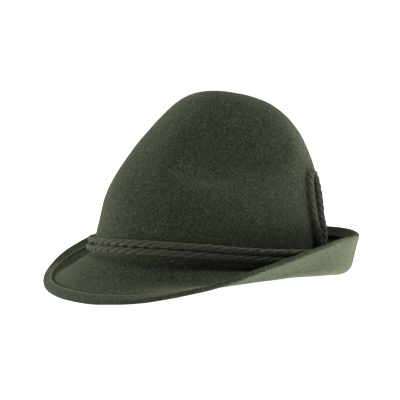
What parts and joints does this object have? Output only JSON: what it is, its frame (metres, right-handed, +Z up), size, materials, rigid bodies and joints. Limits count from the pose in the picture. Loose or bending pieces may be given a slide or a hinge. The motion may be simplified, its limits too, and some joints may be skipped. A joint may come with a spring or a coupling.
{
  "type": "tyrolean hat",
  "caption": "Tyrolean hat of grey-green felt: tall crown with dented sides, brim turned down in front and up at the back, twisted cord round the foot and a cord loop.",
  "frame": {"origin": "Middle of the bounding box in X and Y, on the table that the hat lies on.", "axes": "+Z is up, the front of the hat points along -Y, and the wearer's left is +X."},
  "size_m": [0.256, 0.2778, 0.1624],
  "materials": {
    "felt": "matte speckled wool felt",
    "cord": "matte twisted cord"
  },
  "bodies": {
    "root": {"felt_body": "felt", "cord_lower": "cord", "cord_upper": "cord", "cord_loop": "cord"}
  },
  "joints": []
}
